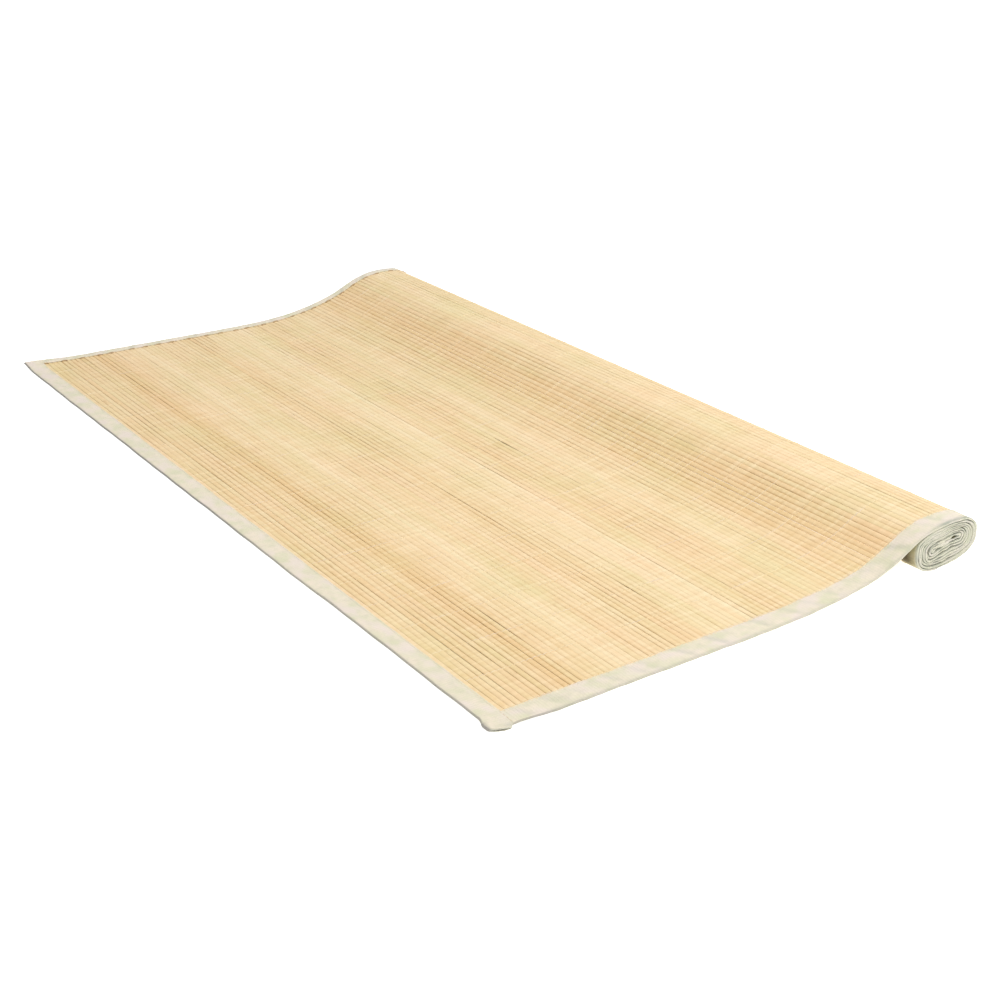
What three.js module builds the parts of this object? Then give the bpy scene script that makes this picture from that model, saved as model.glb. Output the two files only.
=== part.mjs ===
// A slatted bamboo mat with cotton-bound edges, lying flat at one end and rolled up at the other.
// Millimetres. x runs from the flat end towards the roll, y along the slats, z up.
import * as THREE from 'three';
import { mergeVertices } from 'three/addons/utils/BufferGeometryUtils.js';

// The mat's cloth
const MAT_WIDTH = 1000;
const SLAT_PITCH = 5.5;
const SLAT_THICKNESS = 1.2;
const SLAT_GROOVE_DEPTH = 0.45;
const SLAT_GROOVE_HALF_WIDTH = 0.5;
const CLOTH = 0.5;
const GAP = 0.3;
const HALF = SLAT_THICKNESS / 2 + GAP + CLOTH;

// The bindings
const SIDE_BINDING_WIDTH = 20.5;
const END_BINDING_WIDTH = 18.5;
const TAB_REACH = 2.5;
const TAB_FLARE = 3.5;
const TAB_FLARE_LENGTH = 34;

// The rise from the floor to the crest of the roll, a cubic curve with level and tangent handles
const RISE_START = 258;
const RISE_HANDLE = 188;
const CREST_ANGLE = 68;
const CREST_HANDLE = 83;

// The roll, a flattened oval that leans a little
const ROLL_CENTRE_X = 476.8;
const ROLL_HALF_LENGTH = 38.9;
const ROLL_HALF_HEIGHT = 20.5;
const ROLL_LEAN = 7.3;
const ROLL_SQUARENESS = 2.36;
const ROLL_FLAT_SPOT = 0.3;
const TURN_PITCH = 2.8;
const END_PACKING = 0.8;
const TURNS_SHOWN = 6.6;
const TURN_DIP = 110;
const SEAM_WIDTH = 0.8;
const SEAM_DEPTH = 1.2;
const SEAM_STEP_ANGLE = 14;

// Steps along the mat, and how far short of the roll the sheet's faces stop
const UNDER_STEP = 9;
const TAPE_STEP = 5.5;
const MEET_SETBACK = 2;
const TONGUE_SETBACK = 4;

// The far edge is wound a little looser, so the section grows towards it
const FAR_STRETCH = 0.041;
const FAR_LIFT = 0.089;

const EDGE_Y = MAT_WIDTH / 2;
const BINDING_INNER_Y = EDGE_Y - SIDE_BINDING_WIDTH;
const radians = THREE.MathUtils.degToRad;

// A point on the roll's oval, depth millimetres under its outer surface
function ovalPoint(angle, depth) {
  const c = Math.cos(radians(angle));
  const s = Math.sin(radians(angle));
  const power = 2 / ROLL_SQUARENESS;
  const long = (ROLL_HALF_LENGTH - depth * END_PACKING) * Math.sign(c) * Math.abs(c) ** power;
  const high = (ROLL_HALF_HEIGHT - depth) * Math.sign(s) * Math.abs(s) ** power;
  const lean = radians(ROLL_LEAN);
  return new THREE.Vector2(
    ROLL_CENTRE_X + long * Math.cos(lean) - high * Math.sin(lean),
    long * Math.sin(lean) + high * Math.cos(lean),
  );
}

// The oval is set down so that its lowest line sinks by the depth of the flat spot
function lowestOfOval() {
  let lowest = Infinity;
  for (let angle = -180; angle < 0; angle += 0.5) {
    lowest = Math.min(lowest, ovalPoint(angle, 0).y);
  }
  return lowest;
}
const ROLL_BASE = -lowestOfOval() - ROLL_FLAT_SPOT;

function rollPoint(angle, depth) {
  const point = ovalPoint(angle, depth);
  point.y += ROLL_BASE;
  return point;
}

// The middle line of the mat: flat, then the rise, then once round the roll
function middleLine() {
  const crest = rollPoint(CREST_ANGLE, HALF);
  const tangent = rollPoint(CREST_ANGLE - 0.5, HALF).sub(rollPoint(CREST_ANGLE + 0.5, HALF)).normalize();
  const rise = new THREE.CubicBezierCurve(
    new THREE.Vector2(RISE_START, HALF),
    new THREE.Vector2(RISE_START + RISE_HANDLE, HALF),
    crest.clone().addScaledVector(tangent, -CREST_HANDLE),
    crest,
  );
  const points = [new THREE.Vector2(0, HALF), ...rise.getPoints(160)];
  for (let angle = CREST_ANGLE - 1; angle > CREST_ANGLE - 359; angle -= 1) {
    points.push(rollPoint(angle, HALF));
  }
  return points;
}

const LINE = middleLine();
const LENGTHS = [0];
for (let i = 1; i < LINE.length; i += 1) {
  LENGTHS.push(LENGTHS[i - 1] + LINE[i].distanceTo(LINE[i - 1]));
}
const LINE_LENGTH = LENGTHS[LENGTHS.length - 1];

function tangentAt(index) {
  const before = LINE[Math.max(index - 1, 0)];
  const after = LINE[Math.min(index + 1, LINE.length - 1)];
  return after.clone().sub(before).normalize();
}

// The point at a distance along the mat, and offset millimetres out from its middle
function matPoint(along, offset) {
  let i = 1;
  while (i < LENGTHS.length - 1 && LENGTHS[i] < along) {
    i += 1;
  }
  const share = (along - LENGTHS[i - 1]) / (LENGTHS[i] - LENGTHS[i - 1]);
  const point = LINE[i - 1].clone().lerp(LINE[i], share);
  const tangent = tangentAt(i - 1).lerp(tangentAt(i), share).normalize();
  return new THREE.Vector2(point.x - offset * tangent.y, point.y + offset * tangent.x);
}

// Where the roll's outer surface comes up under the rising sheet and meets it
function meetingPoint(offset) {
  const under = [];
  for (let along = RISE_START; along < LINE_LENGTH; along += 1) {
    const point = matPoint(along, -offset);
    if (point.x > ROLL_CENTRE_X) {
      break;
    }
    under.push({ along, point });
  }
  for (let along = LINE_LENGTH - 150; along < LINE_LENGTH; along += 0.25) {
    const outer = matPoint(along, offset);
    const next = under.findIndex((row) => row.point.x > outer.x);
    if (outer.x < ROLL_CENTRE_X && next > 0) {
      const a = under[next - 1];
      const b = under[next];
      const share = (outer.x - a.point.x) / (b.point.x - a.point.x);
      if (outer.y >= THREE.MathUtils.lerp(a.point.y, b.point.y, share)) {
        return { outerAlong: along, underAlong: THREE.MathUtils.lerp(a.along, b.along, share), point: outer };
      }
    }
  }
  throw new Error('the roll does not reach the sheet');
}

const PANEL_MEET = meetingPoint(SLAT_THICKNESS / 2);
const BINDING_MEET = meetingPoint(HALF);
const TONGUE_END = BINDING_MEET.underAlong - TONGUE_SETBACK;

// Distances in even steps
function steps(from, to, step) {
  const count = Math.max(1, Math.round((to - from) / step));
  return Array.from({ length: count + 1 }, (_, i) => THREE.MathUtils.lerp(from, to, i / count));
}

function onTheFloor(point, floor) {
  return new THREE.Vector2(point.x, Math.max(point.y, floor));
}

// Every face of a solid, as triangles between sections that stand at set distances along y
class Solid {
  constructor(side) {
    this.side = side;
    this.corners = [];
  }

  triangle(a, b, c) {
    this.corners.push(...(this.side > 0 ? [a, c, b] : [a, b, c]));
  }

  corner(point, y) {
    return [point.x, -y * this.side, point.y];
  }

  walls(loop, y0, y1) {
    loop.forEach((p, i) => {
      const q = loop[(i + 1) % loop.length];
      this.triangle(this.corner(p, y0), this.corner(q, y1), this.corner(q, y0));
      this.triangle(this.corner(p, y0), this.corner(p, y1), this.corner(q, y1));
    });
  }

  cap(loop, y, facesOut, holes = []) {
    const all = [...loop, ...holes.flat()];
    THREE.ShapeUtils.triangulateShape(loop, holes).forEach(([a, b, c]) => {
      const order = facesOut ? [a, b, c] : [a, c, b];
      this.triangle(...order.map((i) => this.corner(all[i], y)));
    });
  }
}

// Counter-clockwise, as seen from the near side
function ring(points) {
  return THREE.ShapeUtils.isClockWise(points) ? points.slice().reverse() : points.slice();
}

// The far edge's looser winding, applied to every corner
function settle([x, y, z]) {
  const far = (y + EDGE_Y) / MAT_WIDTH;
  return [x * (1 + FAR_STRETCH * far), y, z * (1 + FAR_LIFT * far)];
}

function toMesh(name, corners, material) {
  const geometry = new THREE.BufferGeometry();
  geometry.setAttribute('position', new THREE.Float32BufferAttribute(corners.map(settle).flat(), 3));
  const mesh = new THREE.Mesh(mergeVertices(geometry, 1e-3), material);
  mesh.name = name;
  return mesh;
}

// The slat panel: ribbed on its upper face, plain beneath, its roll one wound mass
function panelTop() {
  const crown = SLAT_THICKNESS / 2;
  const start = CLOTH + GAP;
  const count = Math.floor((PANEL_MEET.outerAlong - start) / SLAT_PITCH);
  const rows = [];
  for (let i = 0; i < count; i += 1) {
    const edge = start + i * SLAT_PITCH;
    rows.push({ along: edge, offset: i === 0 ? crown : crown - SLAT_GROOVE_DEPTH });
    rows.push({ along: edge + SLAT_GROOVE_HALF_WIDTH, offset: crown });
    rows.push({ along: edge + SLAT_PITCH - SLAT_GROOVE_HALF_WIDTH, offset: crown });
  }
  return rows.map(({ along, offset }) => ({ along, point: onTheFloor(matPoint(along, offset), CLOTH + GAP) }));
}

function slatPanel(material) {
  const tongueSteps = steps(CLOTH + GAP, TONGUE_END, UNDER_STEP);
  const restSteps = steps(TONGUE_END, PANEL_MEET.underAlong - MEET_SETBACK, UNDER_STEP).slice(1);
  const under = [...tongueSteps, ...restSteps].map((along) => ({
    along,
    point: matPoint(along, -SLAT_THICKNESS / 2),
  }));
  const top = panelTop();
  const meet = [{ along: PANEL_MEET.outerAlong, point: PANEL_MEET.point }];
  const points = (rows) => rows.map((row) => row.point);
  const tongueUnder = under.filter((row) => row.along <= TONGUE_END);
  const tongueTop = top.filter((row) => row.along <= TONGUE_END);
  const full = ring(points([...under, ...meet, ...top.slice().reverse()]));
  const tongue = ring(points([...tongueUnder, ...tongueTop.slice().reverse()]));
  const restUnder = under.slice(tongueUnder.length - 1);
  const restTop = top.slice(tongueTop.length - 1);
  const rest = ring(points([...restUnder, ...meet, ...restTop.slice().reverse()]));
  const inner = BINDING_INNER_Y - GAP;
  const outer = EDGE_Y - CLOTH - GAP;
  const body = new Solid(-1);
  body.walls(full, -inner, inner);
  body.walls(tongue, -outer, -inner);
  body.walls(tongue, inner, outer);
  body.cap(tongue, -outer, true);
  body.cap(rest, -inner, true);
  body.cap(rest, inner, false);
  body.cap(tongue, outer, false);
  return toMesh('slat_panel', body.corners, material);
}

// The line between two turns: level with the turn for most of the way, then dipping under the next
function seamDepth(turned) {
  const turn = Math.floor(turned / 360);
  const inTurn = turned - 360 * turn;
  const dip = THREE.MathUtils.smoothstep(inTurn, 360 - TURN_DIP, 360);
  return TURN_PITCH * (1 + turn + dip);
}

function seamOutline() {
  const left = [];
  const right = [];
  for (let turned = 0; turned < 360 * TURNS_SHOWN; turned += SEAM_STEP_ANGLE) {
    const depth = seamDepth(turned);
    left.push(rollPoint(CREST_ANGLE - turned, depth - SEAM_WIDTH / 2));
    right.push(rollPoint(CREST_ANGLE - turned, depth + SEAM_WIDTH / 2));
  }
  return ring([...left, ...right.reverse()]);
}

// A side binding: a folded tape along the sheet, and its own turns as the roll's end
function sideBinding(name, side, material) {
  const start = END_BINDING_WIDTH + GAP;
  const hollow = SLAT_THICKNESS / 2 + GAP;
  const underRows = steps(start, BINDING_MEET.underAlong - MEET_SETBACK, UNDER_STEP);
  const topRows = steps(start, BINDING_MEET.outerAlong - GAP, TAPE_STEP);
  const hollowRows = steps(start, TONGUE_END + GAP, UNDER_STEP);
  const under = underRows.map((along) => matPoint(along, -HALF));
  const top = topRows.map((along) => onTheFloor(matPoint(along, HALF), 0));
  const hollowUnder = hollowRows.map((along) => matPoint(along, -hollow));
  const hollowTop = hollowRows.map((along) => matPoint(along, hollow));
  const around = [...under, BINDING_MEET.point, ...top.slice().reverse()];
  const whole = ring([...around, hollowTop[0], hollowUnder[0]]);
  const open = ring([...around, ...hollowTop, ...hollowUnder.slice().reverse()]);
  const pocket = ring([...hollowUnder, ...hollowTop.slice().reverse()]);
  const seam = seamOutline();
  const tape = new Solid(side);
  tape.cap(whole, -EDGE_Y, true, [seam.slice().reverse()]);
  tape.walls(seam.slice().reverse(), -EDGE_Y, -EDGE_Y + SEAM_DEPTH);
  tape.cap(seam, -EDGE_Y + SEAM_DEPTH, true);
  tape.walls(whole, -EDGE_Y, -EDGE_Y + CLOTH);
  tape.cap(pocket, -EDGE_Y + CLOTH, false);
  tape.walls(open, -EDGE_Y + CLOTH, -BINDING_INNER_Y);
  tape.cap(open, -BINDING_INNER_Y, false);
  return toMesh(name, tape.corners, material);
}

// The end binding: a folded tape across the flat end, closed at its ends, with a flared tab at the near one
function endBinding(material) {
  const hollow = SLAT_THICKNESS / 2 + GAP;
  const inner = END_BINDING_WIDTH;
  const nearEnd = -EDGE_Y - TAB_REACH;
  const shape = (y, outerX, hollowX) => ({
    y,
    whole: [
      new THREE.Vector2(outerX, 0),
      new THREE.Vector2(inner, 0),
      new THREE.Vector2(inner, HALF - hollow),
      new THREE.Vector2(inner, HALF + hollow),
      new THREE.Vector2(inner, 2 * HALF),
      new THREE.Vector2(outerX, 2 * HALF),
    ],
    pocket: [
      new THREE.Vector2(hollowX, HALF - hollow),
      new THREE.Vector2(inner, HALF - hollow),
      new THREE.Vector2(inner, HALF + hollow),
      new THREE.Vector2(hollowX, HALF + hollow),
    ],
  });
  const flare = (y) => TAB_FLARE * (1 - THREE.MathUtils.smoothstep(y, nearEnd, nearEnd + TAB_FLARE_LENGTH));
  const stations = [
    ...steps(nearEnd + CLOTH, nearEnd + TAB_FLARE_LENGTH, 8),
    EDGE_Y - CLOTH,
  ].map((y) => shape(y, -flare(y), CLOTH - flare(y)));
  const first = shape(nearEnd, -flare(nearEnd), CLOTH - flare(nearEnd));
  const last = shape(EDGE_Y, 0, CLOTH);
  const corners = [];
  const at = (station, loop, i) => [station[loop][i].x, station.y, station[loop][i].y];
  const quad = (a, b, c, d) => corners.push(a, c, b, a, d, c);
  const strip = (loop, indices, from, to, inward) => {
    for (let k = 0; k < indices.length - 1; k += 1) {
      const [i, j] = inward ? [indices[k + 1], indices[k]] : [indices[k], indices[k + 1]];
      quad(at(from, loop, i), at(from, loop, j), at(to, loop, j), at(to, loop, i));
    }
  };
  const face = (station, loop, facesNear) => {
    const points = station[loop];
    THREE.ShapeUtils.triangulateShape(points, []).forEach(([a, b, c]) => {
      const order = facesNear ? [a, b, c] : [a, c, b];
      corners.push(...order.map((i) => at(station, loop, i)));
    });
  };
  face(first, 'whole', true);
  strip('whole', [0, 1, 2, 3, 4, 5, 0], first, stations[0], false);
  face(stations[0], 'pocket', false);
  for (let i = 0; i < stations.length - 1; i += 1) {
    strip('whole', [0, 1, 2], stations[i], stations[i + 1], false);
    strip('whole', [3, 4, 5, 0], stations[i], stations[i + 1], false);
    strip('pocket', [1, 0, 3, 2], stations[i], stations[i + 1], false);
  }
  const end = stations[stations.length - 1];
  face(end, 'pocket', true);
  strip('whole', [0, 1, 2, 3, 4, 5, 0], end, last, false);
  face(last, 'whole', false);
  return toMesh('binding_end', corners, material);
}

const bamboo = new THREE.MeshStandardMaterial({ color: 0xe9cf9c, roughness: 0.55, metalness: 0 });
const cotton = new THREE.MeshStandardMaterial({ color: 0xe8e2d2, roughness: 0.95, metalness: 0 });

const mat = new THREE.Group();
mat.add(
  slatPanel(bamboo),
  sideBinding('binding_near', -1, cotton),
  sideBinding('binding_far', 1, cotton),
  endBinding(cotton),
);

// The origin is the middle of the footprint, on the floor
const box = new THREE.Box3().setFromObject(mat);
mat.position.set(-(box.min.x + box.max.x) / 2, -(box.min.y + box.max.y) / 2, -box.min.z);

export default mat;
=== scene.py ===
"""A slatted bamboo mat with cotton-bound edges, flat at one end and rolled up at the other."""

import math

import bpy
import numpy as np
from mathutils import Matrix, Vector


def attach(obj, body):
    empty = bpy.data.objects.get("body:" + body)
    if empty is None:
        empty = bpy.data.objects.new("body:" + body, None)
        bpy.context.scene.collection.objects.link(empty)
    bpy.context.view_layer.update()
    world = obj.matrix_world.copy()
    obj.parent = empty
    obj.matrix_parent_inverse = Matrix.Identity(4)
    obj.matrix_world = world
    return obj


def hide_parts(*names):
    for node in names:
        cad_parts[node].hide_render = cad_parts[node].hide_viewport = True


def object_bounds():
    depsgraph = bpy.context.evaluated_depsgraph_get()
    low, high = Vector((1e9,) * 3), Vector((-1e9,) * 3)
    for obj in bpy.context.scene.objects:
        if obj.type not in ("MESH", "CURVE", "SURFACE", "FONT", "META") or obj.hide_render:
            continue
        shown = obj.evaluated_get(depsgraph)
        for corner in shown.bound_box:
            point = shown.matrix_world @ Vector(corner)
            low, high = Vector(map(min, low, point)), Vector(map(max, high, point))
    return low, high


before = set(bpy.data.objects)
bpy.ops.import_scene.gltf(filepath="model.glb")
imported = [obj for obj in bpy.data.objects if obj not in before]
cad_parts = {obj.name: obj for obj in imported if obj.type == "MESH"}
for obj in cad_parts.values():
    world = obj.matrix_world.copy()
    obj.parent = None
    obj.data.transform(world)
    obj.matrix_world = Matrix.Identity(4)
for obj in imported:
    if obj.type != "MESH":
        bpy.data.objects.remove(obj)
cad_box = [list(corner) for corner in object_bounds()]

# Metres from here on. The mat's own place: x from the flat end, y from the near edge, z up
MAT_WIDTH = 1.0
# Laid flat, as the path worked out below comes to
SLAT_PITCH = 0.0055
SLAT_THICKNESS = 0.0012
MAT_HALF = 0.0014
SIDE_TAPE_WIDTH = 0.0205
END_TAPE_WIDTH = 0.0185
TAB_REACH = 0.0025
TAB_FLARE = 0.0035
CLOTH = 0.00042
FAR_TAPE_WIDTH = 0.0130
EDGE_SPREAD = 0.0008
CORNER_DRAW = 0.0030

# The rise from the floor to the crest of the roll
RISE_START = 0.258
RISE_HANDLE = 0.188
CREST_ANGLE = 68.0
CREST_HANDLE = 0.083

# The roll
ROLL_CENTRE_X = 0.4780
ROLL_HALF_LENGTH = 0.0389
ROLL_HALF_HEIGHT = 0.0209
ROLL_LEAN = math.radians(7.3)
ROLL_SQUARENESS = 2.36
ROLL_FLAT_SPOT = 0.0003
TURN_PITCH = 0.0024
LEFT_PACKING = 1.06
RIGHT_PACKING = 1.18
HIGH_PACKING = 1.04
TURN_DIP = 110.0
TURNS = 7.92
STADIUM_DEPTHS = (0.006, 0.012)
ROLL_CREASE = 0.00035
CREASE_DEPTHS = (0.001, 0.009)
SHORT_CREASE = 0.019
LONG_CREASE = 0.047

# The core lies above the roll's middle
CORE_RAISE = 0.0036
CORE_RAISE_REACH = 0.022
CORE_RAISE_DEPTHS = (0.002, 0.020)

# The outer turns swell where the sheet leaves them and sag at the lower right: from, most and to, in degrees
SWELL = 0.0038
SWELL_ANGLES = (75.0, 148.0, 188.0)
SAG = 0.0018
SAG_ANGLES = (275.0, 318.0, 358.0)
BULGE_DEPTH = 0.016

# The far edge is wound a little looser
FAR_STRETCH = 0.041
FAR_LIFT = 0.089

# The far corner of the flat end stands up a little
CORNER_CURL = 0.0028
CORNER_REACH_Y = 0.036
CORNER_REACH_X = 0.070

# The rise stands lower at the near edge and higher at the far edge
RISE_TWIST = 0.28
RISE_TWIST_PLACE = 0.372
RISE_TWIST_REACH = 0.045
RISE_TWIST_MIDDLE = 0.55

# The lowest that the mat lies
FLOOR_TOUCH = 0.00002

# Rows of thread across the slats
THREAD_ROWS = 20
FIRST_ROW = 0.0223
ROW_STEP = 0.0489
THREAD_RADIUS = 0.00024
THREAD_SIDES = 4

ORIGIN_X = cad_box[0][0] + TAB_FLARE
ORIGIN_Y = cad_box[0][1] + TAB_REACH

# The photograph's camera, in the mat's own place
CAMERA_PLACE = (-0.518919, -0.750584, 0.575664)
CAMERA_DOWN = 23.398
CAMERA_YAW = 55.1475
CAMERA_ROLL = 0.114
CAMERA_LENS = 54.171
CAMERA_SENSOR = 36.0

rng = np.random.default_rng(7)


def ease(value, low, high):
    share = np.clip((np.asarray(value, float) - low) / (high - low), 0, 1)
    return share * share * (3 - 2 * share)


def fade(value, low, high):
    return 1 - ease(value, low, high)


def waves(along, lengths, seed):
    """A smooth wander of about -1 to 1, the sum of waves of the given lengths."""
    phases = np.random.default_rng(seed).uniform(0, 2 * math.pi, len(lengths))
    total = sum(np.sin(2 * math.pi * along / length + phase) for length, phase in zip(lengths, phases))
    return total / len(lengths)


# The path of the mat's middle, from the flat end to the inner end of the roll
FLAT_POINTS = 130
RISE_POINTS = 200
CREST = FLAT_POINTS + RISE_POINTS - 2
TURN_STEP = 0.5
# How far round the roll its outer side still shows
OUTER_TURN = 375.0


def bulge(angle, angles, depth):
    """A share of 0 to 1 that is highest at one angle and fades towards the core."""
    start, middle, end = angles
    share = ease(angle, start, middle) * fade(angle, middle, end)
    return share * fade(depth, 0.0, BULGE_DEPTH)


def oval_point(angle, depth):
    """A point of the roll's path, from its angle in degrees and its depth below the roll's outside."""
    turn = np.asarray(angle, float) % 360
    swell = SWELL * bulge(turn, SWELL_ANGLES, depth)
    sag = SAG * bulge(turn, SAG_ANGLES, depth)
    angle = np.radians(angle)
    c = np.cos(angle)
    s = np.sin(angle)
    long = ROLL_HALF_LENGTH - depth * np.where(c > 0, RIGHT_PACKING, LEFT_PACKING)
    high = np.maximum(ROLL_HALF_HEIGHT - depth * HIGH_PACKING, 0.0002)
    power = 2 / ROLL_SQUARENESS
    x = long * np.sign(c) * np.abs(c) ** power
    oval_z = high * np.abs(s) ** power
    end = np.maximum(np.abs(x) - (long - high), 0)
    round_z = np.sqrt(np.maximum(high * high - end * end, 0))
    z = np.sign(s) * (oval_z + (round_z - oval_z) * ease(depth, *STADIUM_DEPTHS))
    # The turns inside are a little crumpled, all of them alike
    crease = ROLL_CREASE * ease(depth, *CREASE_DEPTHS)
    sideways = 0.8 * np.sin(2 * math.pi * z / SHORT_CREASE + 1.1)
    upwards = np.sin(2 * math.pi * x / LONG_CREASE + 0.4) + 0.5 * np.sin(2 * math.pi * x / SHORT_CREASE)
    x = x + crease * sideways
    z = z + crease * upwards
    raised = CORE_RAISE * ease(depth, *CORE_RAISE_DEPTHS)
    raised = raised * np.exp(-((x / CORE_RAISE_REACH) ** 2))
    x = x - 0.6 * swell + 0.8 * sag
    z = z + 0.8 * swell - 0.5 * sag + raised
    leaning_x = ROLL_CENTRE_X + x * math.cos(ROLL_LEAN) - z * math.sin(ROLL_LEAN)
    return np.stack([leaning_x, x * math.sin(ROLL_LEAN) + z * math.cos(ROLL_LEAN)], axis=-1)


ROLL_BASE = -oval_point(np.arange(-180, 0, 0.5), np.zeros(360))[:, 1].min() - ROLL_FLAT_SPOT


def roll_point(angle, depth):
    point = oval_point(np.asarray(angle, float), np.asarray(depth, float))
    point[..., 1] += ROLL_BASE
    return point


def turn_depth(turned):
    """How deep in the roll the mat's middle lies; each turn dips under the one before it near its end."""
    turn = np.floor(turned / 360)
    dip = ease(turned - 360 * turn, 360 - TURN_DIP, 360)
    return MAT_HALF + TURN_PITCH * (turn + dip)


def bezier(points, share):
    a, b, c, d = (np.asarray(p, float) for p in points)
    t = share[:, None]
    return a * (1 - t) ** 3 + 3 * b * t * (1 - t) ** 2 + 3 * c * t * t * (1 - t) + d * t**3


def middle_line():
    """The path's points, and how many degrees each has turned round the roll."""
    crest = roll_point(CREST_ANGLE, MAT_HALF)
    ahead = roll_point(CREST_ANGLE - 0.5, MAT_HALF) - roll_point(CREST_ANGLE + 0.5, MAT_HALF)
    ahead /= np.linalg.norm(ahead)
    handles = (
        (RISE_START, MAT_HALF),
        (RISE_START + RISE_HANDLE, MAT_HALF),
        crest - CREST_HANDLE * ahead,
        crest,
    )
    flat = np.stack([np.linspace(0, RISE_START, FLAT_POINTS), np.full(FLAT_POINTS, MAT_HALF)], axis=1)
    rise = bezier(handles, np.linspace(0, 1, RISE_POINTS))[1:]
    turned = np.arange(TURN_STEP, 360 * TURNS, TURN_STEP)
    wound = roll_point(CREST_ANGLE - turned, turn_depth(turned))
    return np.concatenate([flat, rise, wound]), np.concatenate([np.zeros(CREST + 1), turned])


LINE, TURNED = middle_line()
LENGTHS = np.concatenate([[0], np.cumsum(np.linalg.norm(np.diff(LINE, axis=0), axis=1))])
LINE_LENGTH = LENGTHS[-1]
TANGENTS = np.gradient(LINE, axis=0)
TANGENTS /= np.linalg.norm(TANGENTS, axis=1)[:, None]
ROLL_START = LENGTHS[CREST]
OUTER_TURN_END = float(np.interp(OUTER_TURN, TURNED[CREST + 1 :], LENGTHS[CREST + 1 :]))


def turned_at(along):
    return np.interp(along, LENGTHS, TURNED)


def line_place(along):
    """The x and z of the path at distances along it."""
    return np.interp(along, LENGTHS, LINE[:, 0]), np.interp(along, LENGTHS, LINE[:, 1])


def line_ahead(along):
    """The path's direction in x and z at distances along it."""
    return np.interp(along, LENGTHS, TANGENTS[:, 0]), np.interp(along, LENGTHS, TANGENTS[:, 1])


def on_mat(along, offset, y):
    """Points of the frame, from distances along the mat, offsets out from its middle and places across it."""
    along, offset, y = np.broadcast_arrays(
        np.asarray(along, float), np.asarray(offset, float), np.asarray(y, float)
    )
    x, z = line_place(along)
    tx, tz = line_ahead(along)
    size = np.sqrt(tx * tx + tz * tz)
    before = np.minimum(along, 0)
    return settle(x + before - offset * tz / size, y, z + offset * tx / size)


def settle(x, y, z):
    far = y / MAT_WIDTH
    curl = ease(y, MAT_WIDTH - CORNER_REACH_Y, MAT_WIDTH) * fade(x, 0, CORNER_REACH_X)
    twist = RISE_TWIST * np.exp(-(((x - RISE_TWIST_PLACE) / RISE_TWIST_REACH) ** 2))
    twist = 1 + twist * (far - RISE_TWIST_MIDDLE) * ease(z, MAT_HALF, 3 * MAT_HALF)
    z = np.maximum(z * (1 + FAR_LIFT * far) * twist + CORNER_CURL * curl, FLOOR_TOUCH)
    return np.stack([x * (1 + FAR_STRETCH * far) + ORIGIN_X, y + ORIGIN_Y, z], axis=-1)


def turn_spacing(along):
    """The room from one turn to the next, square to the mat."""
    turned = turned_at(along)
    depth = turn_depth(turned)
    step = 0.0001
    apart = roll_point(CREST_ANGLE - turned, depth + step) - roll_point(CREST_ANGLE - turned, depth)
    tx, tz = line_ahead(along)
    return np.abs(apart[:, 0] * -tz + apart[:, 1] * tx) / step * TURN_PITCH


# Building meshes
def grid_faces(rows, columns, closed_columns=False):
    """Quads between neighbouring rows of a grid of points."""
    row = np.arange(rows - 1)[:, None]
    column = np.arange(columns if closed_columns else columns - 1)[None, :]
    after = (column + 1) % columns
    a = row * columns + column
    b = row * columns + after
    return np.stack([a, b, b + columns, a + columns], axis=-1).reshape(-1, 4)


def capped_faces(rows, columns):
    """The faces of a tube of rings, with a cap at each end."""
    faces = grid_faces(rows, columns, True).tolist()
    faces.append(list(range(columns))[::-1])
    faces.append([(rows - 1) * columns + k for k in range(columns)])
    return faces


def cloth_faces(rows, columns, shut=False):
    """The faces of a folded cloth, its cut edges and, if shut, the hollow between its layers."""
    half = columns // 2
    faces = grid_faces(rows, columns, True).tolist()
    for base in (0, (rows - 1) * columns):
        ends = []
        for k in range(half - 1):
            ends.append([base + k, base + k + 1, base + columns - 2 - k, base + columns - 1 - k])
        if shut:
            ends.append([base + columns - 1 - k for k in range(half)])
        faces += ends if base == 0 else [end[::-1] for end in ends]
    return faces


def new_object(name, data):
    made = bpy.data.objects.new(name, data)
    bpy.context.scene.collection.objects.link(made)
    return made


def make_piece(name, points, faces, material, slot, colours=(), sharp=40, flip=False):
    """A piece of the mat from its mesh, with values a point for its material."""
    mesh = bpy.data.meshes.new(name)
    faces = [tuple(reversed(f)) if flip else tuple(f) for f in faces]
    mesh.from_pydata(np.asarray(points, float).tolist(), [], faces)
    mesh.polygons.foreach_set("use_smooth", [True] * len(mesh.polygons))
    mesh.set_sharp_from_angle(angle=math.radians(sharp))
    for key, values in colours:
        values = np.asarray(values, np.float32)
        kind = "FLOAT" if values.ndim == 1 else "FLOAT_VECTOR"
        layer = mesh.attributes.new(key, kind, "POINT")
        layer.data.foreach_set("value" if values.ndim == 1 else "vector", values.ravel())
    mesh.materials.append(material)
    mesh.update()
    piece = new_object(name, mesh)
    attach(piece, "root")
    return piece


class Parts:
    """Gathers the points and faces of many small closed forms for one mesh."""

    def __init__(self):
        self.points = []
        self.faces = []
        self.count = 0
        self.values = {}

    def add(self, points, faces, **values):
        self.points.append(points)
        self.faces.extend((np.asarray(f) + self.count).tolist() for f in faces)
        self.count += len(points)
        for key, value in values.items():
            value = np.asarray(value, float)
            if value.ndim == 0:
                value = np.full(len(points), value)
            self.values.setdefault(key, []).append(value)

    def piece(self, name, material, slot, **options):
        colours = [(key, np.concatenate(value)) for key, value in self.values.items()]
        points = np.concatenate(self.points)
        return make_piece(name, points, self.faces, material, slot, colours, **options)


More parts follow.
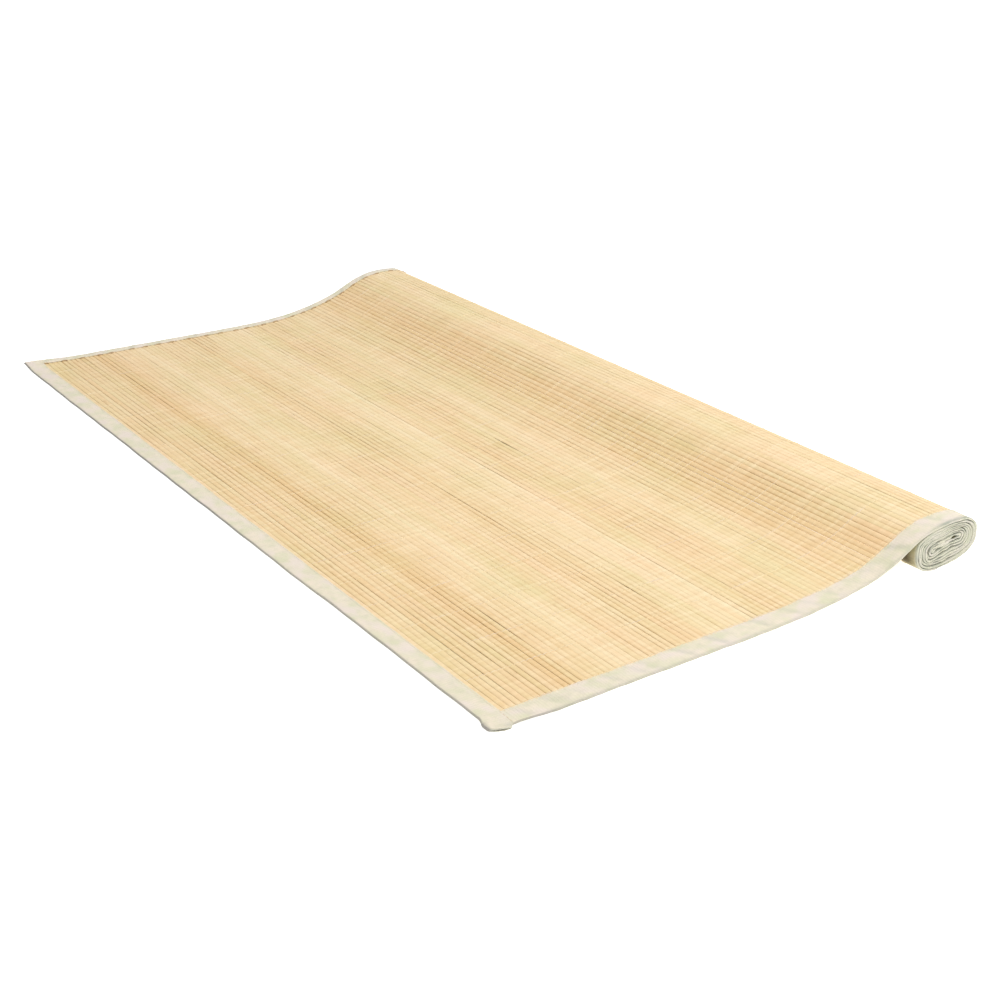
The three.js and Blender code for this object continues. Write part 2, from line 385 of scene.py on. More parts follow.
# Materials
class Nodes:
    """A short way to write a node material."""

    def __init__(self, name):
        self.material = bpy.data.materials.new(name)
        self.material.use_nodes = True
        self.tree = self.material.node_tree
        self.shader = self.tree.nodes["Principled BSDF"]

    def link(self, value, socket):
        if isinstance(value, bpy.types.NodeSocket):
            self.tree.links.new(value, socket)
        elif value is not None:
            socket.default_value = value

    def node(self, kind, inputs=(), **settings):
        made = self.tree.nodes.new(kind)
        for key, value in settings.items():
            setattr(made, key, value)
        for key, value in dict(inputs).items():
            self.link(value, made.inputs[key])
        return made

    def surface(self, values):
        """The finished material, with the shader's inputs set or linked."""
        for key, value in values.items():
            self.link(value, self.shader.inputs[key])
        return self.material

    def attribute(self, name, output="Fac"):
        return self.node("ShaderNodeAttribute", attribute_name=name).outputs[output]

    def math(self, operation, a, b=None, clamp=False):
        made = self.node("ShaderNodeMath", operation=operation, use_clamp=clamp)
        self.link(a, made.inputs[0])
        self.link(b, made.inputs[1])
        return made.outputs[0]

    def scaled(self, vector, factors):
        made = self.node("ShaderNodeVectorMath", operation="MULTIPLY")
        self.link(vector, made.inputs[0])
        made.inputs[1].default_value = factors
        return made.outputs[0]

    def noise(self, vector, scale, detail=2.0, rough=0.5):
        made = self.node(
            "ShaderNodeTexNoise",
            {"Vector": vector, "Scale": scale, "Detail": detail, "Roughness": rough},
        )
        return made.outputs["Fac"]

    def spread(self, value, low, high, to_low=0.0, to_high=1.0):
        made = self.node(
            "ShaderNodeMapRange",
            {"Value": value, "From Min": low, "From Max": high, "To Min": to_low, "To Max": to_high},
        )
        return made.outputs["Result"]

    def mix(self, share, a, b, blend="MIX"):
        made = self.node("ShaderNodeMix", data_type="RGBA", blend_type=blend)
        colours = [s for s in made.inputs if s.type == "RGBA"]
        self.link(share, made.inputs["Factor"])
        self.link(a, colours[0])
        self.link(b, colours[1])
        return [s for s in made.outputs if s.type == "RGBA"][0]

    def over(self, base, over, value, low, high, most):
        """A colour laid over the base as a value runs from low to high."""
        return self.mix(self.spread(value, low, high, 0.0, most), base, over)

    def wave(self, vector, direction, scale, distortion):
        made = self.node(
            "ShaderNodeTexWave",
            {"Vector": vector, "Scale": scale, "Distortion": distortion, "Detail": 1.0},
            wave_type="BANDS",
            bands_direction=direction,
        )
        return made.outputs["Fac"]

    def bump(self, height, strength, distance, under=None):
        made = self.node("ShaderNodeBump", {"Height": height, "Strength": strength, "Distance": distance})
        self.link(under, made.inputs["Normal"])
        return made.outputs["Normal"]


def colour(red, green, blue):
    """A linear colour from the usual 0 to 255 values."""
    def linear(value):
        value /= 255
        return value / 12.92 if value <= 0.04045 else ((value + 0.055) / 1.055) ** 2.4

    return (linear(red), linear(green), linear(blue), 1.0)


def bamboo_material():
    n = Nodes("bamboo")
    place = n.attribute("place", "Vector")
    tone = n.attribute("tone")
    tint = n.attribute("tint")
    edge = n.attribute("edge")
    spot = n.attribute("spot", "Vector")
    cross = n.noise(n.scaled(spot, (0.1, 1.0, 1.0)), 240.0, 2.0, 0.55)
    grain = n.noise(n.scaled(place, (1.0, 0.02, 1.0)), 2600.0, 3.0, 0.6)
    streak = n.noise(n.scaled(place, (1.0, 0.012, 1.0)), 420.0, 2.0, 0.5)
    patch = n.noise(n.scaled(place, (1.0, 0.5, 1.0)), 26.0, 2.0, 0.5)
    knot = n.noise(n.scaled(place, (1.0, 0.42, 1.0)), 190.0, 1.0, 0.4)
    warmth = n.math("ADD", tone, n.spread(patch, 0.3, 0.7, -0.28, 0.28))
    warmth = n.math("ADD", warmth, n.spread(streak, 0.3, 0.7, -0.25, 0.25))
    warmth = n.spread(warmth, -1.0, 1.0)
    base = n.mix(warmth, BAMBOO_PALE, BAMBOO_WARM)
    field = n.noise(n.scaled(spot, (1.0, 0.55, 1.0)), 15.0, 2.0, 0.5)
    base = n.over(base, BAMBOO_GREEN, field, 0.5, 0.68, 0.32)
    base = n.over(base, BAMBOO_PINK, field, 0.48, 0.34, 0.16)
    base = n.over(base, BAMBOO_GREEN, tint, 0.0, 1.0, 0.26)
    base = n.over(base, BAMBOO_PINK, tint, 0.0, -1.0, 0.14)
    base = n.over(base, BAMBOO_LIGHT, cross, 0.5, 0.72, 0.3)
    base = n.over(base, BAMBOO_FIBRE, cross, 0.5, 0.3, 0.14)
    # The slats' edges, darkened with tan colour and painted shade, more in some places than others
    broken = n.noise(n.scaled(spot, (1.0, 0.16, 1.0)), 190.0, 2.0, 0.6)
    edge = n.math("MULTIPLY", edge, n.spread(broken, 0.36, 0.64, 0.25, 1.6), clamp=True)
    base = n.mix(edge, base, BAMBOO_EDGE)
    base = n.over(base, BAMBOO_FIBRE, grain, 0.5, 0.78, 0.3)
    base = n.over(base, BAMBOO_KNOT, knot, 0.70, 0.80, 0.22)
    # Painted shade on the slats in the wedge under the sheet
    base = n.mix(n.attribute("shade"), base, BAMBOO_DEEP_SHADE)
    surface = {
        "Base Color": base,
        "Roughness": n.spread(grain, 0.2, 0.8, 0.42, 0.66),
        "Specular IOR Level": 0.35,
        "Normal": n.bump(grain, 0.35, 0.00012),
    }
    return n.surface(surface)


def cotton_material(name, light, shade, painted_shade_colour, weave=True):
    n = Nodes(name)
    place = n.attribute("place", "Vector")
    fold = n.attribute("fold")
    stain = n.attribute("stain")
    patch = n.noise(place, 55.0, 3.0, 0.55)
    fleck = n.noise(place, 900.0, 2.0, 0.6)
    base = n.mix(n.spread(patch, 0.36, 0.64), light, shade)
    blotch = n.noise(place, 150.0, 3.0, 0.6)
    base = n.over(base, COTTON_FLECK, blotch, 0.5, 0.7, 0.35)
    cool = n.noise(n.scaled(place, (1.0, 1.6, 1.0)), 38.0, 2.0, 0.5)
    base = n.over(base, COTTON_COOL, cool, 0.46, 0.64, 0.8)
    if weave:
        rib = n.wave(place, "X", RIB_SCALE, 1.5)
        base = n.mix(n.math("MULTIPLY", rib, 0.16), base, COTTON_FLECK)
    base = n.over(base, COTTON_FLECK, fleck, 0.45, 0.8, 0.25)
    # Painted shade on the roll's end, the cloth's edges and underside, and between puckers
    base = n.over(base, COTTON_FOLD_SHADE, fold, 0.0, 1.0, 0.85)
    # Painted shade in the given colour, turning darker where it is strongest
    base = n.mix(stain, base, n.mix(n.spread(stain, 0.7, 1.0), painted_shade_colour, COTTON_DEEP_SHADE))
    # Painted shade along the outside of the fold, a dark line where the tape meets the floor
    base = n.mix(n.attribute("hem"), base, COTTON_HEM_SHADE)
    surface = {"Base Color": base, "Roughness": 0.92, "Specular IOR Level": 0.2}
    surface.update({"Sheen Weight": 0.12, "Sheen Roughness": 0.5})
    normal = n.bump(fleck, 0.25, 0.0002)
    if weave:
        for direction in ("X", "Y"):
            normal = n.bump(n.wave(place, direction, WEAVE_SCALE, 0.6), 0.3, 0.00012, normal)
        normal = n.bump(rib, 0.3, 0.0002, normal)
    return n.surface({**surface, "Normal": normal})


BAMBOO_PALE = colour(238, 218, 180)
BAMBOO_WARM = colour(226, 194, 143)
BAMBOO_GREEN = colour(216, 205, 148)
BAMBOO_PINK = colour(238, 196, 158)
BAMBOO_LIGHT = colour(250, 232, 196)
BAMBOO_EDGE = colour(196, 156, 98)
BAMBOO_DEEP_SHADE = colour(88, 74, 44)
BAMBOO_FIBRE = colour(206, 164, 108)
BAMBOO_KNOT = colour(176, 132, 82)
COTTON_LIGHT = colour(230, 218, 198)
COTTON_SHADE = colour(213, 210, 180)
COTTON_COOL = colour(229, 215, 206)
COTTON_FLECK = colour(200, 193, 172)
COTTON_FOLD_SHADE = colour(155, 161, 146)
COTTON_WEDGE_SHADE = colour(138, 132, 84)
COTTON_DEEP_SHADE = colour(72, 63, 40)
COTTON_HEM_SHADE = colour(124, 120, 116)
THREAD_LIGHT = colour(246, 231, 196)
THREAD_SHADE = colour(240, 220, 178)
THREAD_DASH_SHADE = colour(150, 116, 76)
WEAVE_SCALE = 550.0
RIB_SCALE = 115.0

bamboo = bamboo_material()
cotton = cotton_material("cotton_tape", COTTON_LIGHT, COTTON_SHADE, COTTON_WEDGE_SHADE)
thread = cotton_material("cotton_thread", THREAD_LIGHT, THREAD_SHADE, THREAD_DASH_SHADE, weave=False)

# The slats
SLAT_START = 0.0008
SLAT_SPARE = 0.001
SLAT_COUNT = int((LINE_LENGTH - SLAT_START - SLAT_SPARE) / SLAT_PITCH)
OUTER_SLAT_COUNT = int((OUTER_TURN_END - SLAT_START) / SLAT_PITCH)
SLAT_END_GAP = 0.0011
ROLL_SLAT_INSET = 0.0030
SLAT_HALF = SLAT_THICKNESS / 2
OUTER_SLAT_STATIONS = 43
INNER_SLAT_STATIONS = 3
# The tan colour and painted shade of the slats' edges, and the painted shade of the slats in the wedge under
# the sheet
EDGE_TAN_AND_SHADE = 0.17
WEDGE_SHADE = 0.7
# How the slats differ from each other
GAP = 0.00018
GAP_VARIES = 0.00010
GAP_RANGE = (0.00004, 0.0013)
WARM_WIDENING = 0.00022
LEAN_VARIES = 0.00004
LIFT_VARIES = 0.00004
TONE_VARIES = 0.16
TINT_VARIES = 0.35
GRAIN_SHIFT = 9
# Groups of slats that share the same wander along their length
GAP_GROUP = 7
TINT_GROUP = 4
GROUP_WAVES = (0.43, 0.21)
GROUP_SEED = 500
# The middles between the rows of thread
ROW_ENDS = FIRST_ROW + ROW_STEP * (np.arange(-1, THREAD_ROWS + 1) + 0.5)
# Bands of tone along the mat: middle, half width and warmth
TONE_BANDS = (
    (0.045, 0.030, 0.35),
    (0.088, 0.013, 0.75),
    (0.138, 0.016, -0.45),
    (0.206, 0.014, 0.40),
    (0.254, 0.022, -0.50),
    (0.305, 0.012, 0.10),
    (0.345, 0.018, -0.40),
    (0.412, 0.024, 0.70),
    (0.475, 0.022, -0.35),
    (0.560, 0.030, 0.30),
    (0.640, 0.030, -0.20),
)
# Places where two slats stand apart: along the mat, across it, half length and extra gap
SLITS = (
    (0.319, 0.458, 0.012, 0.0011),
    (0.389, 0.253, 0.008, 0.0008),
    (0.220, 0.116, 0.007, 0.0006),
    (0.095, 0.136, 0.020, 0.0005),
    (0.207, 0.360, 0.036, 0.0003),
    (0.402, 0.546, 0.026, 0.0003),
    (0.300, 0.226, 0.026, 0.0002),
    (0.444, 0.540, 0.022, 0.0003),
    (0.062, 0.620, 0.030, 0.0003),
    (0.160, 0.780, 0.025, 0.0003),
)


def corner_draw(along):
    """How far the near edge is drawn in beside the tab."""
    return CORNER_DRAW * fade(along, END_TAPE_WIDTH - 0.002, 0.058)


def band_tone(along):
    return sum(warmth * np.exp(-(((along - middle) / width) ** 2)) for middle, width, warmth in TONE_BANDS)


def slat_section(half_left, half_right):
    """One slat's outline: along the mat and out from its middle, for each station, and how much is edge."""
    left = -half_left[:, None]
    right = half_right[:, None]
    shares = np.array([[1.0, 1.0, 0.78, 0.35]])
    along = [left * shares, right * shares[:, ::-1], 0.85 * right, 0.85 * left]
    along = np.concatenate(along, axis=1)
    out = np.array([-0.55, 0.22, 0.74, 1.0, 1.0, 0.74, 0.22, -0.55, -1.0, -1.0]) * SLAT_HALF
    edge = np.array([1.0, 1.0, 0.5, 0.0, 0.0, 0.5, 1.0, 1.0, 0.6, 0.6])
    return along, np.broadcast_to(out, along.shape), np.broadcast_to(edge, along.shape)


def slat_stations(middle, outer):
    """The places across the mat where a slat's outline is set."""
    end_gap = SLAT_END_GAP + ROLL_SLAT_INSET * float(ease(middle, ROLL_START - 0.05, ROLL_START))
    near_end = end_gap + 1.2 * float(corner_draw(middle))
    return np.linspace(near_end, MAT_WIDTH - end_gap, OUTER_SLAT_STATIONS if outer else INNER_SLAT_STATIONS)


def slat_gap(gap, edge, line, warmth, y, outer):
    """The gap at one edge of a slat, wider in warm bands and uneven where it shows."""
    gap = gap + WARM_WIDENING * warmth
    if outer:
        slack = np.random.default_rng(3000 + edge).standard_normal(len(ROW_ENDS))
        gap = gap + 0.00010 * waves(y, (0.31, 0.13, 0.071), 100 + edge)
        gap = gap + 0.00008 * np.interp(y, ROW_ENDS, slack)
        gap = gap + 0.00008 * waves(y, GROUP_WAVES, GROUP_SEED + edge // GAP_GROUP)
        for at, across, reach, extra in SLITS:
            if abs(line - at) < SLAT_PITCH / 2:
                gap = gap + extra * np.exp(-(((y - across) / reach) ** 4))
    return np.clip(gap, *GAP_RANGE) + np.zeros(len(y))


def slat_points(middle, across, offset, y):
    """Each slat is a stiff strip, so it turns as one with the path at its middle."""
    x, z = line_place(middle)
    tx, tz = line_ahead(middle)
    x = x + across * tx - offset * tz
    z = z + across * tz + offset * tx
    return settle(x, np.broadcast_to(y[:, None], x.shape), z).reshape(-1, 3)


def slats():
    parts = Parts()
    gaps = GAP + GAP_VARIES * rng.standard_normal(SLAT_COUNT + 1)
    leans = LEAN_VARIES * rng.standard_normal(SLAT_COUNT)
    tones = TONE_VARIES * rng.standard_normal(SLAT_COUNT)
    tints = TINT_VARIES * rng.standard_normal(SLAT_COUNT)
    lifts = LIFT_VARIES * rng.standard_normal(SLAT_COUNT)
    shifts = rng.uniform(0, GRAIN_SHIFT, SLAT_COUNT)
    for i in range(SLAT_COUNT):
        middle = SLAT_START + (i + 0.5) * SLAT_PITCH
        outer = middle < OUTER_TURN_END
        y = slat_stations(middle, outer)
        warmth = band_tone(middle)
        halves = []
        for side, number in ((-1, i), (1, i + 1)):
            line = middle + side * SLAT_PITCH / 2
            gap = slat_gap(gaps[number], number, line, warmth, y, outer)
            halves.append(SLAT_PITCH / 2 - gap / 2)
        across, out, edge = slat_section(*halves)
        lift = lifts[i] * np.ones(len(y))
        if outer:
            lift = lift + 0.00003 * waves(y, (0.4, 0.17, 0.09), 900 + i)
        offset = out + across * leans[i] / SLAT_PITCH + lift[:, None]
        # How strongly each slat's edges take the tan colour and painted shade
        edge_darkening = 0.75 + 1.5 * warmth + 0.8 * waves(y, (0.37, 0.15, 0.06), 600 + i)
        edge_darkening = EDGE_TAN_AND_SHADE * (edge_darkening + 0.8 * waves(y, GROUP_WAVES, GROUP_SEED + i // GAP_GROUP))
        turned = float(turned_at(middle))
        # Slats whose outer side faces the wedge under the sheet get painted shade
        in_wedge = float(ease(turned, 190, 215) * fade(turned, 330, 350))
        tint = np.clip(tints[i] + 0.8 * waves(y, (0.9, 0.41, 0.23), 700 + i // TINT_GROUP), -1, 1)
        grain = np.broadcast_arrays(middle + across, y[:, None] + shifts[i], offset + i * 0.013)
        spot = np.broadcast_arrays(middle + across, y[:, None], 0.0)
        parts.add(
            slat_points(middle, across, offset, y),
            capped_faces(*across.shape),
            tone=warmth + tones[i],
            tint=np.broadcast_to(tint[:, None], across.shape).ravel(),
            edge=(edge * np.clip(edge_darkening, 0.02, 0.8)[:, None]).ravel(),
            shade=WEDGE_SHADE * in_wedge,
            place=np.stack(grain, axis=-1).reshape(-1, 3),
            spot=np.stack(spot, axis=-1).reshape(-1, 3),
        )
    return parts.piece("slats", bamboo, "bamboo", sharp=55)


# The threads that hold the slats
def tube(points, radius, sides, ups):
    """A tube round a line of points, its rings square to the line."""
    ahead = np.gradient(points, axis=0)
    ahead /= np.linalg.norm(ahead, axis=1)[:, None]
    side = np.cross(ahead, ups)
    side /= np.linalg.norm(side, axis=1)[:, None]
    up = np.cross(side, ahead)
    turn = 2 * math.pi * (np.arange(sides) + 0.5) / sides
    rings = (
        points[:, None]
        + radius * np.cos(turn)[None, :, None] * side[:, None]
        + radius * np.sin(turn)[None, :, None] * up[:, None]
    )
    return rings.reshape(-1, 3), capped_faces(len(points), sides)


def add_thread(parts, along, offset, y, radius, sides, above=0.0, **values):
    """A thread along a line on the mat, left out if it comes nearer to the floor than stated."""
    points = on_mat(along, offset, y)
    if points[:, 2].min() < above:
        return
    ups = on_mat(along, offset + 0.001, y) - points
    tube_points, faces = tube(points, radius, sides, ups)
    place = np.repeat(np.stack(np.broadcast_arrays(along, y, offset), axis=-1), sides, axis=0)
    parts.add(tube_points, faces, place=place, **values)


def weft(name, phase):
    """The threads that pass over every second slat and under the others."""
    parts = Parts()
    outer_steps = np.arange(0, OUTER_SLAT_COUNT, 0.25)
    steps = np.concatenate([outer_steps, np.arange(OUTER_SLAT_COUNT, SLAT_COUNT - 0.4, 0.5)])
    along = SLAT_START + (steps + 0.5) * SLAT_PITCH
    swing = np.cos(math.pi * steps + phase)
    reach = SLAT_HALF + THREAD_RADIUS * 0.9
    offset = np.sign(swing) * np.abs(swing) ** 0.5 * reach
    for row in range(THREAD_ROWS):
        wander = 0.0005 * waves(along, (0.9, 0.37, 0.12), 40 + row)
        y = FIRST_ROW + ROW_STEP * row + wander + 0.00016 * np.sin(math.pi * steps + phase)
        add_thread(parts, along, offset, y, THREAD_RADIUS, THREAD_SIDES)
    return parts.piece(name, thread, "cotton_tape", sharp=80)


# The side tapes
UPPER_SHARES = np.array([1.0, 0.93, 0.86, 0.72, 0.55, 0.38, 0.24, 0.12])
FOLD_ANGLES = np.radians(np.linspace(90, -90, 9))
LOWER_SHARES = np.array([0.12, 0.3, 0.6, 1.0])
UPPER = len(UPPER_SHARES)
SIDE_TAPE_START = 0.0016
SLEEVE_HALF = 0.00095
SLEEVE_END = 0.004
FLAT_TOP = 0.00112
FLAT_UNDER = 0.00138
EDGE_LIFT = 0.0004
EDGE_LIFT_REACH = 0.007
LIP_STEP = 0.0006
FOLD_REACH = 0.0012
# How far before the roll the tape becomes packed, and its fold faces the camera as the roll's end
PACKED_FROM = 0.05
FACING_FROM = 0.045
FACING_FULL = 0.02
# The stretch of the rise where the tape leaves the floor
LEAVES_FLOOR = (RISE_START + 0.03, RISE_START + 0.12)
# The room that a turn's tape may take, and the share of it left open
TURN_ROOM = (0.0015, 0.0034)
OPEN_GAP = 0.22
CLOSED_GAP = 0.02
WIDE_GAP = 0.3
# The room between the sheet and the roll where the tape still fills it, and where it is open
FILLED_ROOM = (0.0038, 0.0054)
FILLING_CLEARANCE = 0.00145
MOST_FILLING = 0.0026
# The last turn's tape is puffed out on its inner side; degrees turned
CORE_PUFF = 0.0008
CORE_TURNED = (2430, 2480)
# Puckers of the upper layer
PUCKER_WAVES = (0.0117, 0.0173, 0.0265, 0.041)
PUCKER_SLANT = 0.55
NEAR_PUCKER = 0.00034
FAR_PUCKER = 0.0004
ROLL_PUCKER = 0.00004

# Where the puffed tape hides the gaps between turns: x, z, reach in x, reach in z and how fully
CLOSED_PLACES = (
    (0.5100, 0.0180, 0.0090, 0.0120, 1.0),
    (0.5130, 0.0265, 0.0070, 0.0085, 0.95),
    (0.4500, 0.0100, 0.0120, 0.0055, 0.35),
    (0.4620, 0.0345, 0.0200, 0.0060, 1.0),
    (0.4980, 0.0080, 0.0150, 0.0070, 0.85),
    (0.4740, 0.0240, 0.0060, 0.0030, 1.0),
)
# Where the turns stand well apart
WIDE_PLACES = (
    (0.4866, 0.0254, 0.0044, 0.0042, 1.0),
    (0.4640, 0.0248, 0.0026, 0.0016, 0.5),
    (0.4560, 0.0196, 0.0020, 0.0030, 0.5),
    (0.5060, 0.0350, 0.0030, 0.0030, 0.25),
)
# The inner end of the mat, given a painted highlight where it catches the light
BRIGHT_PLACES = CLOSED_PLACES[-1:]


def near_places(along, places):
    """How near the stations are to any of the places on the roll's end, up to 1."""
    x, z = line_place(along)
    near = np.zeros_like(x)
    for cx, cz, rx, rz, share in places:
        near = np.maximum(near, share * np.exp(-((((x - cx) / rx) ** 2 + ((z - cz) / rz) ** 2) ** 2)))
    return near


def room_below(along):
    """The distance from the rising sheet to the turn of the roll below it."""
    below = LINE[(TURNED > 280) & (TURNED < 470)]
    x, z = line_place(along)
    return np.hypot(x[:, None] - below[None, :, 0], z[:, None] - below[None, :, 1]).min(axis=1)


def tape_stations(start):
    """Distances along the mat, closer together where it bends tightly."""
    picked = [start]
    heading = math.atan2(*line_ahead(start)[::-1])
    for i in range(len(LENGTHS)):
        if LENGTHS[i] <= start:
            continue
        angle = math.atan2(TANGENTS[i, 1], TANGENTS[i, 0])
        bend = abs((angle - heading + math.pi) % (2 * math.pi) - math.pi)
        step = LENGTHS[i] - picked[-1]
        if step > 0.0018 or (bend > math.radians(9) and step > 0.0003):
            while step > 0.0026:
                picked.append(picked[-1] + 0.0018)
                step = LENGTHS[i] - picked[-1]
            picked.append(LENGTHS[i])
            heading = angle
    return np.array(picked)


def cloth_loop(across, offset):
    """A closed outline of cloth thickness round each station's line of points."""
    ahead_y = np.gradient(across, axis=1)
    ahead_o = np.gradient(offset, axis=1)
    size = np.sqrt(ahead_y**2 + ahead_o**2)
    normal_y = -ahead_o / size
    normal_o = ahead_y / size
    half = CLOTH / 2
    one = np.stack([across - half * normal_y, offset - half * normal_o], axis=-1)
    two = np.stack([across + half * normal_y, offset + half * normal_o], axis=-1)
    return np.concatenate([one, two[:, ::-1]], axis=1)


def fold_line(top, under, lift, outer, lip, squareness, fold_depth):
    """The tape's middle in section: from the lip of its upper layer, round the fold, to the lower lip.

    Each input is one value a station. Distances across are inwards from the mat's edge.
    """
    inner = fold_depth[:, None]
    upper_y = inner + UPPER_SHARES * (lip[:, None] - inner)
    upper_o = np.broadcast_to(top[:, None], upper_y.shape)
    turn = FOLD_ANGLES[None, :]
    power = 2 / squareness[:, None]
    c = np.abs(np.cos(turn)) ** power
    s = np.sign(np.sin(turn)) * np.abs(np.sin(turn)) ** power
    low = -under + lift
    middle = ((top + low) / 2)[:, None]
    rise = ((top - low) / 2)[:, None]
    fold_y = inner - (inner - outer[:, None]) * c
    fold_o = middle + rise * s
    lower_y = inner + LOWER_SHARES * (lip[:, None] - LIP_STEP - inner)
    lower_o = -under[:, None] + lift[:, None] * fade(lower_y, 0.0, EDGE_LIFT_REACH)
    across = np.concatenate([upper_y, fold_y, lower_y], axis=1)
    return across, np.concatenate([upper_o, fold_o, lower_o], axis=1)


def round_loop(upper, at_fold, lower):
    """One value for each point of a tape's outline, from those of the layers and the fold."""
    line = np.concatenate([np.full(UPPER, upper), at_fold, lower])
    return np.concatenate([line, line[::-1]])[None, :]


# Painted shade on the outside of the fold, which shows as a dark line along the floor
HEM_SHADE_LOOP = round_loop(0.0, ease(-FOLD_ANGLES, math.radians(-85), math.radians(-45)), (0.6, 0.0, 0.0, 0.0))
# Painted shade on the flanks of the fold, darker than its ridge
FLANKS = round_loop(1.0, ease(np.abs(FOLD_ANGLES), 0.0, math.radians(30)), (1.0, 1.0, 1.0, 1.0))


class SideTape:
    """One of the two tapes along the mat's long edges, folded over the ends of the slats."""

    def __init__(self, side, seed):
        self.side = side
        self.seed = seed
        self.width = SIDE_TAPE_WIDTH if side < 0 else FAR_TAPE_WIDTH
        self.along = tape_stations(SIDE_TAPE_START)
        self.turned = turned_at(self.along)
        self.in_roll = ease(self.along, ROLL_START - PACKED_FROM, ROLL_START)
        self.facing = ease(self.along, ROLL_START - FACING_FROM, ROLL_START - FACING_FULL)
        self.on_floor = fade(self.along, *LEAVES_FLOOR)
        self.at_core = ease(self.turned, *CORE_TURNED)
        self.wide = near_places(self.along, WIDE_PLACES)
        uneven = np.clip(0.75 + 0.5 * self.wander((0.013, 0.021, 0.034), 9), 0, 1)
        self.open_share = (1 - near_places(self.along, CLOSED_PLACES)) * uneven
        self.outer = self.outer_edge()

    def wander(self, lengths, number):
        return waves(self.along, lengths, self.seed + number)

    def pucker(self, inwards):
        return waves(self.along[:, None] + PUCKER_SLANT * inwards, PUCKER_WAVES, self.seed + 7)

    def outer_edge(self):
        """Where the fold ends, inwards from the mat's edge."""
        # Each turn ends a little further in or out than its neighbours, and less so where they are puffed
        in_turns = 0.0007 * waves(self.turned + 40, (610.0, 1130.0), self.seed + 3)
        in_turns = in_turns + 0.0004 * (self.turned / 360) ** 0.5
        in_turns = in_turns + 0.0005 * self.wander((0.0087, 0.019, 0.031), 10)
        in_turns = in_turns * (0.3 + 0.7 * self.open_share)
        drawn_in = corner_draw(self.along) if self.side < 0 else 0.0
        on_flat = 0.0005 * self.wander((0.21, 0.083, 0.037), 4) - EDGE_SPREAD * self.on_floor + drawn_in
        outer = on_flat * (1 - self.in_roll) + in_turns * self.in_roll
        outer = outer + 0.00015 * self.wander((0.013, 0.021), 8)
        if self.side > 0:
            outer = outer + 0.0004 * self.wander((0.024, 0.037, 0.059), 13) * (1 - self.in_roll)
        return outer

    def layers(self):
        """How far the layers lie from the mat's middle, and how far the lower one's fold is lifted."""
        room = np.clip(turn_spacing(self.along), *TURN_ROOM)
        gap = CLOSED_GAP + (OPEN_GAP - CLOSED_GAP) * self.open_share + WIDE_GAP * self.wide
        packed = room * (1 - gap) / 2 - CLOTH / 2 + 0.00005 * self.wander((0.011, 0.017, 0.029), 0)
        sleeve = fade(self.along, END_TAPE_WIDTH, END_TAPE_WIDTH + SLEEVE_END)
        top = FLAT_TOP + 0.00007 * self.wander((0.019, 0.031, 0.047), 1)
        top = top + (SLEEVE_HALF - top) * sleeve - CLOTH / 2
        under = FLAT_UNDER + (SLEEVE_HALF - FLAT_UNDER) * sleeve - CLOTH / 2
        under = under * self.on_floor + (FLAT_TOP - CLOTH / 2) * (1 - self.on_floor)
        top = top * (1 - self.in_roll) + packed * self.in_roll
        under = under * (1 - self.in_roll) + packed * self.in_roll
        under = under + CORE_PUFF * self.at_core * (1 - self.wide)
        # Where the sheet leaves the roll, the tape's lower layer still fills the room between them
        below = room_below(self.along)
        filling = self.facing * (self.along < ROLL_START) * fade(below, *FILLED_ROOM)
        lift = -filling * np.clip(below - FILLING_CLEARANCE - under, 0.0, MOST_FILLING)
        uneven = 1 + 0.35 * self.wander((0.11, 0.063), 2)
        lift = lift + EDGE_LIFT * self.on_floor * (1 - sleeve) * uneven
        return top, under, lift

    def section(self):
        """The cloth's closed outline at each station: inwards from the edge, and out from the middle."""
        top, under, lift = self.layers()
        lip = self.width + 0.0004 * self.wander((0.12, 0.047, 0.021), 5)
        lip = lip + 0.00012 * self.wander((0.0079, 0.0113), 6)
        squared = (1 - self.open_share) * self.facing
        fold_depth = self.outer + FOLD_REACH * (1 - 0.5 * squared)
        across, offset = fold_line(top, under, lift, self.outer, lip, 2.0 + 8.0 * squared, fold_depth)
        # Soft puckers in the upper layer, between the seam and the fold
        upper = across[:, :UPPER]
        ripple = ease(upper, 0.001, 0.3 * self.width)
        ripple = ripple * fade(upper, 0.7 * self.width, 0.85 * self.width)
        height = (NEAR_PUCKER if self.side < 0 else FAR_PUCKER) * (1 - self.in_roll) + ROLL_PUCKER
        offset[:, :UPPER] += height[:, None] * ripple * (0.6 + self.pucker(upper))
        return cloth_loop(across, offset)

    def shading(self, inwards, out):
        """The painted shade of the cloth on the roll's end, the flat edge, the underside and between puckers,
        less where the inner end catches the light.
        """
        facing = self.facing[:, None]
        puffed = 1 - self.open_share[:, None]
        bright = near_places(self.along, BRIGHT_PLACES)[:, None]
        dulled = 0.14 * self.wander((0.009, 0.015, 0.024), 12)[:, None]
        on_face = 0.20 + 0.80 * ((1 - puffed) * FLANKS + 0.5 * puffed) - 0.12 * bright + dulled
        on_face = np.clip(on_face, 0, 1) * fade(inwards, 0.0022, 0.0040)
        on_edge = 0.35 * fade(inwards, 0.0, 0.0022)
        shade = facing * on_face + (1 - facing) * on_edge
        shade = np.maximum(shade, (out < 0) * 0.5 * (1 - facing))
        trough = np.clip(-self.pucker(inwards) - 0.05, 0, 1) * ease(inwards, 0.001, 0.004) * (out > 0)
        return np.maximum(shade, 0.42 * trough)

    def stain(self, inwards, out):
        # Painted shade, tinted olive by light thrown back from the bamboo, on the side of the roll that faces
        # the wedge under the sheet
        in_wedge = ease(self.turned, 190, 240) * fade(self.turned, 330, 380)
        shaded_wedge = in_wedge[:, None] * ease(inwards, 0.0006, 0.0035) * (out > 0)
        shaded_wedge = shaded_wedge * (0.72 + 0.26 * ease(inwards, 0.002, 0.012))
